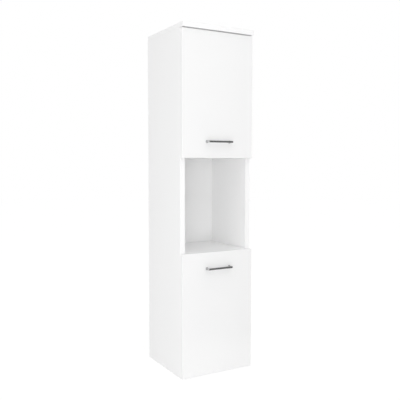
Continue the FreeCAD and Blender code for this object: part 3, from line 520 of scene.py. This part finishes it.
def carved(form, cutters):
    """Mesh of the form with the cutters taken out of it."""
    scene = bpy.context.scene
    block = bpy.data.objects.new("block", to_mesh(form, "block"))
    scene.collection.objects.link(block)
    spare = [block]
    for cutter in cutters:
        tool = bpy.data.objects.new("tool", to_mesh(cutter, "tool"))
        scene.collection.objects.link(tool)
        spare.append(tool)
        step = block.modifiers.new("cut", "BOOLEAN")
        step.operation = "DIFFERENCE"
        step.solver = "EXACT"
        step.object = tool
    bpy.context.view_layer.update()
    finished = block.evaluated_get(bpy.context.evaluated_depsgraph_get())
    mesh = bpy.data.meshes.new_from_object(finished)
    for obj in spare:
        used = obj.data
        bpy.data.objects.remove(obj)
        discard(used)
    return mesh


def facing(outward, place, spin=0):
    """Matrix that stands a form made along +Z on a place, facing outward."""
    turn = Z_AXIS.rotation_difference(outward).to_matrix().to_4x4()
    return Matrix.Translation(place) @ turn @ Matrix.Rotation(spin, 4, "Z")


def screw_mesh(name, head, height, shank, depth):
    """Cross-recessed screw: a domed head from z = 0 up, and its threaded shank below."""
    rim = height * 0.65
    profile = [(0, -depth), (shank * 0.35, -depth), (shank * 0.8, -depth + shank)]
    turns = max(1, int((depth - shank - THREAD_RUNOUT) / THREAD_PITCH))
    for n in range(turns):
        level = -depth + shank + THREAD_PITCH * n
        profile += [(shank, level + THREAD_PITCH * 0.35),
                    (shank * 0.78, level + THREAD_PITCH * 0.8)]
    profile += [(shank * 0.8, -0.6 * MM), (shank * 0.8, 0), (head * 0.97, 0),
                (head, rim * 0.3), (head, rim * 0.8)]
    form = lathe(profile + dome(head, rim * 0.8, height, 5), 28)
    reach, width, sink = head * 0.62, head * 0.17, height * 0.6
    cutters = []
    for turn in (0, pi / 2):
        cutter = rounded_block((-reach, -width, height - sink), (reach, width, height * 1.5),
                               width * 0.25, 1)
        for vert in cutter.verts:  # the recess tapers inward
            if vert.co.z < height - sink / 2:
                vert.co.x *= 0.6
                vert.co.y *= 0.7
        bmesh.ops.rotate(cutter, verts=cutter.verts, cent=(0, 0, 0),
                         matrix=Matrix.Rotation(turn, 3, "Z"))
        cutters.append(cutter)
    mesh = carved(form, cutters)
    mesh.name = name
    return mesh


# ------------------------------------------------------------------ operators

class CABINET_OT_effects(bpy.types.Operator):
    """Build the shader node groups that the finishes share"""
    bl_idname = "cabinet.effects"
    bl_label = "Shared Surface Effects"

    def execute(self, context):
        for build in (grain_effect, cloud_effect, painted_edge_effect, raw_side_effect):
            tree = build()
            EFFECTS[tree.name] = tree
        return {"FINISHED"}


class CABINET_OT_boards(bpy.types.Operator):
    """Finish the carcass boards and the loose shelves in pearl-grained white melamine"""
    bl_idname = "cabinet.boards"
    bl_label = "Carcass Boards and Shelves"

    def execute(self, context):
        tones = context.scene.cabinet_finish
        # Board edges are painted 0.88 as bright as the white: painted shade.
        carcass = finish("Carcass Melamine", tones.melamine, scaled(tones.melamine, 0.965), 0.55,
                         amount=0.35, grain=900, stretch=(1, 1, 0.6), relief=0.03,
                         edge=0.5, painted_edge_tone=scaled(tones.melamine, 0.88))
        wear(carcass, "left_side_panel", "right_side_panel", "top_panel", "bottom_panel",
             "niche_floor_panel", "niche_ceiling_panel")
        shelf = finish("Shelf Melamine", tones.shelf, scaled(tones.shelf, 0.96), 0.45,
                       amount=0.35, cloud=9, grain=950, stretch=(0.6, 1, 1), relief=0.03,
                       edge=0.5, painted_edge_tone=scaled(tones.shelf, 0.88))
        wear(shelf, "upper_shelf", "lower_shelf")
        return {"FINISHED"}


class CABINET_OT_doors(bpy.types.Operator):
    """Finish both doors in satin white lacquer with the faint ripple of a sprayed coat"""
    bl_idname = "cabinet.doors"
    bl_label = "Doors"

    def execute(self, context):
        tones = context.scene.cabinet_finish
        # Door edges are painted 0.9 as bright as the lacquer: painted shade.
        lacquer = finish("Door Lacquer", tones.lacquer, scaled(tones.lacquer, 0.975), 0.3,
                         cloud=4, grain=320, relief=0.012, gloss_drift=0.05,
                         edge=0.5, painted_edge_tone=scaled(tones.lacquer, 0.9),
                         Coat_Weight=0.15, Coat_Roughness=0.14)
        wear(lacquer, *DOORS)
        return {"FINISHED"}


class CABINET_OT_back(bpy.types.Operator):
    """Finish the back panel: white in front, raw hardboard at the rear"""
    bl_idname = "cabinet.back"
    bl_label = "Back Panel"

    def execute(self, context):
        tones = context.scene.cabinet_finish
        board = finish("Back Board", tones.back_front, scaled(tones.back_front, 0.97), 0.4,
                       grain=700)
        tree = board.node_tree
        shader = tree.nodes["Principled BSDF"]
        tint, gloss = (shader.inputs[name] for name in ("Base Color", "Roughness"))
        white, satin = (socket.links[0].from_socket for socket in (tint, gloss))
        fibre = place_effect(tree, "Grain", Scale=420, Stretch=(1, 1, 0.25))
        cloud = place_effect(tree, "Cloud", Color=tones.back_rear, Drift_Color=tones.back_fleck,
                             Scale=14, Amount=0.8, Roughness=0.75, Gloss_Drift=0.1)
        flecks = maths(tree, "POWER", fibre["Height"], 3)
        raw = mix_colour(tree, flecks, cloud["Color"], tones.back_fleck)
        rear = place_effect(tree, "Raw Side", Softness=0.1)["Mask"]
        join(tree, mix_colour(tree, rear, white, raw), tint)
        join(tree, mix_number(tree, rear, satin, cloud["Roughness"]), gloss)
        wear(board, "back_panel")
        return {"FINISHED"}


class CABINET_OT_handles(bpy.types.Operator):
    """Build both bow handles: a bar that turns into two legs, each on a wider foot"""
    bl_idname = "cabinet.handles"
    bl_label = "Handles"

    def execute(self, context):
        sizes, tones = context.scene.cabinet_handle, context.scene.cabinet_finish
        # Edges are painted 1.25 times as bright as the chrome: a painted highlight.
        chrome = finish("Handle Chrome", tones.handle, scaled(tones.handle, 0.9), 0.2,
                        amount=0.4, cloud=40, grain=260, stretch=(0.05, 1, 1), relief=0.004,
                        edge=0.6, painted_edge_tone=scaled(tones.handle, 1.25), edge_radius=0.8,
                        Metallic=1)
        for door in DOORS:
            node = door.replace("door", "handle")
            show(node + "_bow", to_mesh(self.bow(node, sizes), node), door, chrome,
                 node, sharp=55)
        return {"FINISHED"}

    def bow(self, node, sizes):
        """Closed form through sections from the left foot, along the bar, to the right foot."""
        low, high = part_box(node)
        middle = (low + high) / 2
        spread = (sizes.foot_width - sizes.leg_width) / 2
        half, reach = (high.x - low.x) / 2 - spread, high.y - low.y
        foot, bar = (high.z - low.z) / 2, sizes.bar_height / 2
        inner_x, inner_y = half - sizes.leg_width, reach - sizes.bar_depth
        turn_x, turn_y = inner_x - sizes.inner_corner, inner_y - sizes.inner_corner
        ease, flare_from, steps = sizes.foot_ease, sizes.foot_depth * 0.2, 8
        # Stations along a leg, with y from the door forward: inner x and y, outer x and y,
        # half the height, and the rounding of the section.
        stations = [
            (inner_x - spread + ease, 0, half + spread - ease, 0,
             foot - ease, sizes.foot_corner - ease),
            (inner_x - spread, ease, half + spread, ease, foot, sizes.foot_corner)]
        for n in range(steps + 1):
            along = n / steps
            share = (1 - along) ** 2
            y = flare_from + (sizes.foot_depth - flare_from) * along
            stations.append((
                inner_x - spread * share, y, half + spread * share, y,
                bar + (foot - bar) * share,
                sizes.edge + (sizes.foot_corner - sizes.edge) * share))
        for n in range(steps + 1):
            way_x, way_y = cos(pi / 2 * n / steps), sin(pi / 2 * n / steps)
            near = sizes.inner_corner
            far = self.outer_reach(turn_x, turn_y, way_x, way_y, half, reach, sizes.outer_corner)
            stations.append((
                turn_x + way_x * near, turn_y + way_y * near,
                turn_x + way_x * far, turn_y + way_y * far, bar, sizes.edge))
        rings = []
        for side, order in ((-1, stations), (1, stations[::-1])):
            for inner_px, inner_py, outer_px, outer_py, height, edge in order:
                inner = Vector((side * inner_px, -inner_py, 0))
                outer = Vector((side * outer_px, -outer_py, 0))
                rings.append(self.section(inner, outer, height, edge))
        form = shell(rings)
        bmesh.ops.translate(form, verts=form.verts, vec=(middle.x, high.y, middle.z))
        return form

    def outer_reach(self, x, y, way_x, way_y, half, reach, corner):
        """Distance from the inside of the turn to its rounded outer corner."""
        far = min((half - x) / max(way_x, 1e-9), (reach - y) / max(way_y, 1e-9))
        if x + way_x * far > half - corner and y + way_y * far > reach - corner:
            cx, cy = x - (half - corner), y - (reach - corner)
            dot = cx * way_x + cy * way_y
            far = -dot + sqrt(dot * dot - (cx * cx + cy * cy - corner * corner))
        return far

    def section(self, inner, outer, height, edge):
        """Rounded rectangle across the bow, from its inner to its outer side."""
        across = outer - inner
        width = across.length
        across.normalize()
        middle = (inner + outer) / 2
        points = []
        for quarter, (sign_w, sign_h) in enumerate(((1, 1), (-1, 1), (-1, -1), (1, -1))):
            for n in range(5):
                turn = pi / 2 * (quarter + n / 4)
                w = sign_w * (width / 2 - edge) + edge * cos(turn)
                h = sign_h * (height - edge) + edge * sin(turn)
                points.append(middle + across * w + Z_AXIS * h)
        return points


class CABINET_OT_hinges(bpy.types.Operator):
    """Finish the concealed hinges in nickel plate, with eased sheet edges"""
    bl_idname = "cabinet.hinges"
    bl_label = "Hinges"

    def execute(self, context):
        sizes, tones = context.scene.cabinet_fittings, context.scene.cabinet_finish
        # Edges are painted 1.3 times as bright as the nickel: a painted highlight.
        nickel = finish("Hinge Nickel", tones.nickel, scaled(tones.nickel, 0.82), 0.24,
                        amount=0.7, cloud=60, stretch=(1, 1, 0.3), relief=0.008,
                        edge=0.7, painted_edge_tone=scaled(tones.nickel, 1.3), edge_radius=0.6,
                        Metallic=1)
        edges = {hinge + part: sizes.hinge_edge for hinge in HINGES for part in HINGE_PARTS}
        pins = ("hinge_arm_pins", "upper_door_cup_pins", "lower_door_cup_pins")
        edges.update(dict.fromkeys(pins, sizes.pin_edge))
        wear(nickel, *edges)
        for name, width in edges.items():
            soften(name, width)
        return {"FINISHED"}


class CABINET_OT_screws(bpy.types.Operator):
    """Build all visible screws with domed, cross-recessed heads"""
    bl_idname = "cabinet.screws"
    bl_label = "Screws"

    def execute(self, context):
        tones = context.scene.cabinet_finish
        # Edges are painted 1.3 times as bright as the zinc: a painted highlight.
        steel = finish("Bright Zinc", tones.zinc, scaled(tones.zinc, 0.85), 0.3,
                       amount=0.6, cloud=120, grain=900, relief=0.008, edge=0.6,
                       painted_edge_tone=scaled(tones.zinc, 1.3), edge_radius=0.5, Metallic=1)
        for node, body, head, height, shank, way, head_in_cad in SCREWS:
            boxes = solids(node)
            long_side = max(boxes[0][1] - boxes[0][0])
            depth = long_side - head_in_cad * MM
            mesh = screw_mesh(node + "_one", head * MM, height * MM, shank * MM, depth)
            copies = []
            for n, (low, high) in enumerate(boxes):
                outward = way or (X_AXIS if (low + high).x < 0 else -X_AXIS)
                seat = (low + high) / 2 + outward * (long_side / 2 - head_in_cad * MM)
                copies.append((mesh, facing(outward, seat, SCREW_TURN + SCREW_TURN_STEP * n)))
            show(node + "_cross", gather(node, copies), body, steel, node)
            discard(mesh)
        return {"FINISHED"}


class CABINET_OT_supports(bpy.types.Operator):
    """Build the clear shelf supports: a ribbed shank, a collar and a braced tongue"""
    bl_idname = "cabinet.supports"
    bl_label = "Shelf Supports"

    def execute(self, context):
        sizes = context.scene.cabinet_fittings
        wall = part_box("right_side_panel")[0].x
        for node in ("upper_shelf_supports", "lower_shelf_supports"):
            copies = []
            for low, high in solids(node):
                side = 1 if low.x > 0 else -1
                tongue = wall - (low.x if side > 0 else -high.x)
                span = high - low
                mesh = self.support(sizes, tongue, span.x - tongue, span.y / 2, span.z)
                place = Vector((side * wall, (low.y + high.y) / 2, high.z))
                mirror = Matrix.Diagonal((side, 1, 1, 1))
                copies.append((mesh, Matrix.Translation(place) @ mirror))
            show(node + "_clear", gather(node, copies, turn_out=True), "cabinet",
                 clear_plastic(context), node)
            discard(*(mesh for mesh, _ in copies))
        return {"FINISHED"}

    def support(self, sizes, tongue, shank, half, height):
        """Right-hand support: the side panel's face is x = 0, the shelf's underside z = 0."""
        thick, rib = sizes.tongue, sizes.brace / 2
        plate = rounded_block((-tongue, -half, -thick), (0, half, 0), sizes.tongue_edge)
        outline = [(0, -thick * 0.6), (-tongue * 0.85, -thick * 0.6),
                   (-0.8 * MM, -height), (0, -height)]
        brace = shell([[Vector((x, y, z)) for x, z in outline] for y in (-rib, rib)])
        radius = half * 0.7
        turned = [(0, -shank), (radius * 0.8, -shank), (radius, -shank + 0.6 * MM)]
        for n in range(4):
            level = -shank * (0.8 - 0.2 * n)
            turned += [(radius, level), (radius * 0.9, level + 0.5 * MM), (radius, level + MM)]
        turned += [(radius, 0), (half, 0), (half, 0.5 * MM), (half * 0.9, 0.8 * MM),
                   (0, 0.8 * MM)]
        parts = [to_mesh(plate, "tongue"), to_mesh(brace, "brace"),
                 to_mesh(lathe(turned, 24), "shank")]
        into_wall = facing(-X_AXIS, Vector((0, 0, -height / 2)))
        whole = gather("support", zip(parts, (Matrix(), Matrix(), into_wall)))
        discard(*parts)
        return whole


class CABINET_OT_bumpers(bpy.types.Operator):
    """Build the soft clear bumpers on the doors' back faces"""
    bl_idname = "cabinet.bumpers"
    bl_label = "Bumpers"

    def execute(self, context):
        for door in DOORS:
            node = door + "_bumpers"
            boxes = solids(node)
            span = boxes[0][1] - boxes[0][0]
            radius, height = span.x / 2, span.y
            foot = height * 0.12
            profile = [(0, 0), (radius, 0), (radius, foot)]
            bumper = to_mesh(lathe(profile + dome(radius * 0.96, foot, height, 7), 32), "dome")
            copies = [(bumper, facing(Y_AXIS, Vector(((low.x + high.x) / 2, low.y,
                                                      (low.z + high.z) / 2))))
                      for low, high in boxes]
            show(node + "_domes", gather(node, copies), door, clear_plastic(context),
                 node)
            discard(bumper)
        return {"FINISHED"}


class CABINET_OT_caps(bpy.types.Operator):
    """Build the press-in caps over the cams and over the access holes"""
    bl_idname = "cabinet.caps"
    bl_label = "Cover Caps"

    def execute(self, context):
        self.cam_caps(context)
        self.access_caps(context)
        return {"FINISHED"}

    def cam_caps(self, context):
        node = "cam_caps"
        boxes = solids(node)
        span = boxes[0][1] - boxes[0][0]
        radius, height = max(span) / 2, min(span)
        cap = to_mesh(lathe(self.profile(radius, height), 40), "cap")
        upward = [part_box(board)[1].z for board in ("bottom_panel", "niche_ceiling_panel")]
        copies = []
        for low, high in boxes:
            middle, span = (low + high) / 2, high - low
            if span.x < span.z:
                outward = -X_AXIS if middle.x > 0 else X_AXIS
            else:
                on_board = min(abs(low.z - level) for level in upward) < 0.1 * MM
                outward = Z_AXIS if on_board else -Z_AXIS
            copies.append((cap, facing(outward, middle - outward * height / 2)))
        self.press(context, node, cap, copies)

    def access_caps(self, context):
        node = "access_caps"
        boxes = solids(node)
        face, rear = (corner.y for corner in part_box("back_panel"))
        low, high = boxes[0]
        radius, height, depth = (high - low).x / 2, face - low.y, face - rear
        plug = radius - context.scene.cabinet_fittings.cap_rim
        stem = [(0, depth), (plug * 0.9, depth), (plug, depth + 0.4 * MM), (plug, 0)]
        cap = to_mesh(lathe(stem + self.profile(radius, height)[1:], 40), "cap")
        copies = [(cap, facing(-Y_AXIS, Vector(((low.x + high.x) / 2, face,
                                                (low.z + high.z) / 2))))
                  for low, high in boxes]
        self.press(context, node, cap, copies)

    def press(self, context, node, cap, copies):
        show(node + "_pressed", gather(node, copies), "cabinet", white_plastic(context),
             node)
        discard(cap)

    def profile(self, radius, height):
        """A flat cap with a rolled rim and a faintly dished face."""
        dish = height * 0.22
        return [(0, 0), (radius * 0.985, 0), (radius, height * 0.25),
                (radius * 0.99, height * 0.6), (radius * 0.95, height * 0.88),
                (radius * 0.9, height), (radius * 0.84, height * 0.97),
                (radius * 0.78, height - dish), (0, height - dish * 0.8)]


class CABINET_OT_hangers(bpy.types.Operator):
    """Finish the hangers, their hooks and the wall rail"""
    bl_idname = "cabinet.hangers"
    bl_label = "Hangers and Rail"

    def execute(self, context):
        sizes, tones = context.scene.cabinet_fittings, context.scene.cabinet_finish
        # Edges are painted 1.3 times as bright as the zinc: a painted highlight.
        steel = finish("Rail Zinc", tones.zinc, scaled(tones.zinc, 0.78), 0.34,
                       amount=0.8, cloud=45, grain=400, stretch=(0.08, 1, 1), relief=0.015,
                       gloss_drift=0.14, edge=0.6, painted_edge_tone=scaled(tones.zinc, 1.3),
                       edge_radius=0.8, Metallic=1)
        for name, surface, width in (
                ("wall_rail", steel, sizes.rail_edge),
                ("left_hanger_hook", steel, sizes.hook_edge),
                ("right_hanger_hook", steel, sizes.hook_edge),
                ("left_hanger_housing", white_plastic(context), sizes.housing_edge),
                ("right_hanger_housing", white_plastic(context), sizes.housing_edge)):
            wear(surface, name)
            soften(name, width)
        return {"FINISHED"}


class CABINET_OT_joinery(bpy.types.Operator):
    """Finish the hidden cams, bolts and dowels"""
    bl_idname = "cabinet.joinery"
    bl_label = "Cams, Bolts and Dowels"

    def execute(self, context):
        tones = context.scene.cabinet_finish
        cast = finish("Cast Zinc", tones.casting, scaled(tones.casting, 0.8), 0.5, amount=0.8,
                      cloud=90, grain=1500, relief=0.03, gloss_drift=0.15, Metallic=1)
        wear(cast, "cam_housings")
        bolt = finish("Bolt Steel", tones.zinc, scaled(tones.zinc, 0.85), 0.3, amount=0.6,
                      cloud=120, grain=900, relief=0.008, Metallic=1)
        wear(bolt, "cam_bolts")
        wood = finish("Beech", tones.beech, tones.beech_ray, 0.6, amount=0.6,
                      cloud=160, grain=1200, stretch=(0.12, 1, 1), relief=0.04)
        wear(wood, "joint_dowels")
        return {"FINISHED"}


class CABINET_OT_stage(bpy.types.Operator):
    """Set up the pale floor, the even studio light and the camera"""
    bl_idname = "cabinet.stage"
    bl_label = "Studio"

    def execute(self, context):
        studio = context.scene.cabinet_stage
        for build in (self.floor, self.world, self.lamps, self.screen, self.camera):
            build(context, studio)
        return {"FINISHED"}

    def seen(self, tree):
        """1 where the camera looks, straight or by way of metal or clear plastic, else 0."""
        path = add_node(tree, "ShaderNodeLightPath").outputs
        onward = maths(tree, "ADD", path["Is Glossy Ray"], path["Is Transmission Ray"],
                       clamp=True)
        fresh = maths(tree, "LESS_THAN", path["Diffuse Depth"], 0.5)
        mirrored = maths(tree, "MULTIPLY", onward, fresh)
        return maths(tree, "ADD", path["Is Camera Ray"], mirrored, clamp=True)

    def blend(self, tree, amount, unseen, shown, output):
        """Put out one shader where amount is 0, and another where it is 1."""
        made = tree.nodes.new("ShaderNodeMixShader")
        for socket, source in zip(made.inputs, (amount, unseen.outputs[0], shown.outputs[0])):
            join(tree, source, socket)
        join(tree, made.outputs[0], output.inputs["Surface"])

    def floor(self, context, studio):
        form = bmesh.new()
        bmesh.ops.create_circle(form, cap_ends=True, segments=96, radius=studio.floor_radius)
        bmesh.ops.translate(form, verts=form.verts, vec=(0, 0, -FLOOR_DROP))
        mesh = to_mesh(form, "floor")
        tone = (studio.floor_tone,) * 3
        surface = finish("Studio Floor", tone, scaled(tone, 0.99), 0.9, grain=200)
        mesh.materials.append(surface)
        tree = surface.node_tree
        glow = add_node(tree, "ShaderNodeEmission", Strength=studio.floor_white)
        self.blend(tree, maths(tree, "MULTIPLY", self.seen(tree), studio.floor_glow),
                   tree.nodes["Principled BSDF"], glow, tree.nodes["Material Output"])
        floor = bpy.data.objects.new("studio_floor", mesh)
        context.scene.collection.objects.link(floor)

    def world(self, context, studio):
        world = bpy.data.worlds.new("Studio")
        context.scene.world = world
        world.use_nodes = True
        tree = world.node_tree
        tree.nodes.clear()
        light, white = (
            add_node(tree, "ShaderNodeBackground", Color=(1, 1, 1, 1), Strength=strength)
            for strength in (studio.sky, 1))
        self.blend(tree, self.seen(tree), light, white, tree.nodes.new("ShaderNodeOutputWorld"))

    def aim(self, obj, place, target):
        obj.location = place
        way = Vector(target) - Vector(place)
        obj.rotation_euler = way.to_track_quat("-Z", "Y").to_euler()

    def lamps(self, context, studio):
        for side in ("low", "left", "high"):
            watts, size, place = (getattr(studio, side + end)
                                  for end in ("_power", "_size", "_place"))
            light = bpy.data.lights.new(side + "_lamp", "AREA")
            light.shape = "SQUARE"
            light.size = size
            light.energy = watts
            lamp = bpy.data.objects.new(side + "_lamp", light)
            context.scene.collection.objects.link(lamp)
            lamp.visible_camera = False
            self.aim(lamp, place, studio.lamp_aim)

    def screen(self, context, studio):
        """Grey mat and wall at the front right, which only reflections show."""
        form = bmesh.new()
        rise = Z_AXIS * (studio.screen_top - SCREEN_START.z)
        rows = []
        for far, up in ((studio.screen_near, Vector()), (studio.screen_far, Vector()),
                        (studio.screen_far, rise)):
            middle = SCREEN_START + SCREEN_AHEAD * far + up
            rows.append([form.verts.new(middle + SCREEN_ACROSS * side * studio.screen_width / 2)
                         for side in (-1, 1)])
        for low, high in zip(rows, rows[1:]):
            form.faces.new((low[0], low[1], high[1], high[0]))
        mesh = to_mesh(form, "screen")
        surface = bpy.data.materials.new("Grey Screen")
        surface.use_nodes = True
        tree = surface.node_tree
        tree.nodes.clear()
        glow = add_node(tree, "ShaderNodeEmission", Strength=studio.screen_tone)
        output = tree.nodes.new("ShaderNodeOutputMaterial")
        join(tree, glow.outputs[0], output.inputs["Surface"])
        mesh.materials.append(surface)
        screen = bpy.data.objects.new("grey_screen", mesh)
        context.scene.collection.objects.link(screen)
        for kind in ("camera", "diffuse", "transmission", "volume_scatter", "shadow"):
            setattr(screen, "visible_" + kind, False)

    def camera(self, context, studio):
        eye = bpy.data.cameras.new("Camera")
        eye.sensor_width = SENSOR_WIDTH
        eye.lens = studio.eye_lens
        eye.dof.use_dof = False
        view = bpy.data.objects.new("camera", eye)
        context.scene.collection.objects.link(view)
        turn, dip = studio.eye_turn, studio.eye_dip
        way = Vector((sin(turn) * cos(dip), cos(turn) * cos(dip), -sin(dip)))
        place = Vector(studio.eye_place)
        self.aim(view, place, place + way)
        context.scene.camera = view
        context.scene.view_settings.view_transform = "Standard"


class CABINET_PT_panel(bpy.types.Panel):
    """Buttons and values of the cabinet"""
    bl_idname = "CABINET_PT_panel"
    bl_label = "Bathroom Cabinet"
    bl_space_type = "VIEW_3D"
    bl_region_type = "UI"
    bl_category = "Cabinet"

    def draw(self, context):
        for step in STEPS:
            self.layout.operator(step.bl_idname)
        for name, group in GROUPS.items():
            box = self.layout.box()
            for value in group.__annotations__:
                box.prop(getattr(context.scene, name), value)


STEPS = (
    CABINET_OT_effects, CABINET_OT_stage, CABINET_OT_boards, CABINET_OT_doors,
    CABINET_OT_back, CABINET_OT_handles, CABINET_OT_hinges, CABINET_OT_screws,
    CABINET_OT_supports, CABINET_OT_bumpers, CABINET_OT_caps, CABINET_OT_hangers,
    CABINET_OT_joinery,
)
GROUPS = {
    "cabinet_finish": CabinetFinish,
    "cabinet_handle": CabinetHandle,
    "cabinet_fittings": CabinetFittings,
    "cabinet_stage": CabinetStage,
}


def register():
    for made in (*GROUPS.values(), *STEPS, CABINET_PT_panel):
        bpy.utils.register_class(made)
    for name, group in GROUPS.items():
        setattr(bpy.types.Scene, name, PointerProperty(type=group))


def unregister():
    for name in GROUPS:
        delattr(bpy.types.Scene, name)
    for made in (CABINET_PT_panel, *reversed(STEPS), *reversed(list(GROUPS.values()))):
        bpy.utils.unregister_class(made)


def main():
    register()
    for step in STEPS:
        family, name = step.bl_idname.split(".")
        getattr(getattr(bpy.ops, family), name)()


if __name__ == "__main__":
    main()
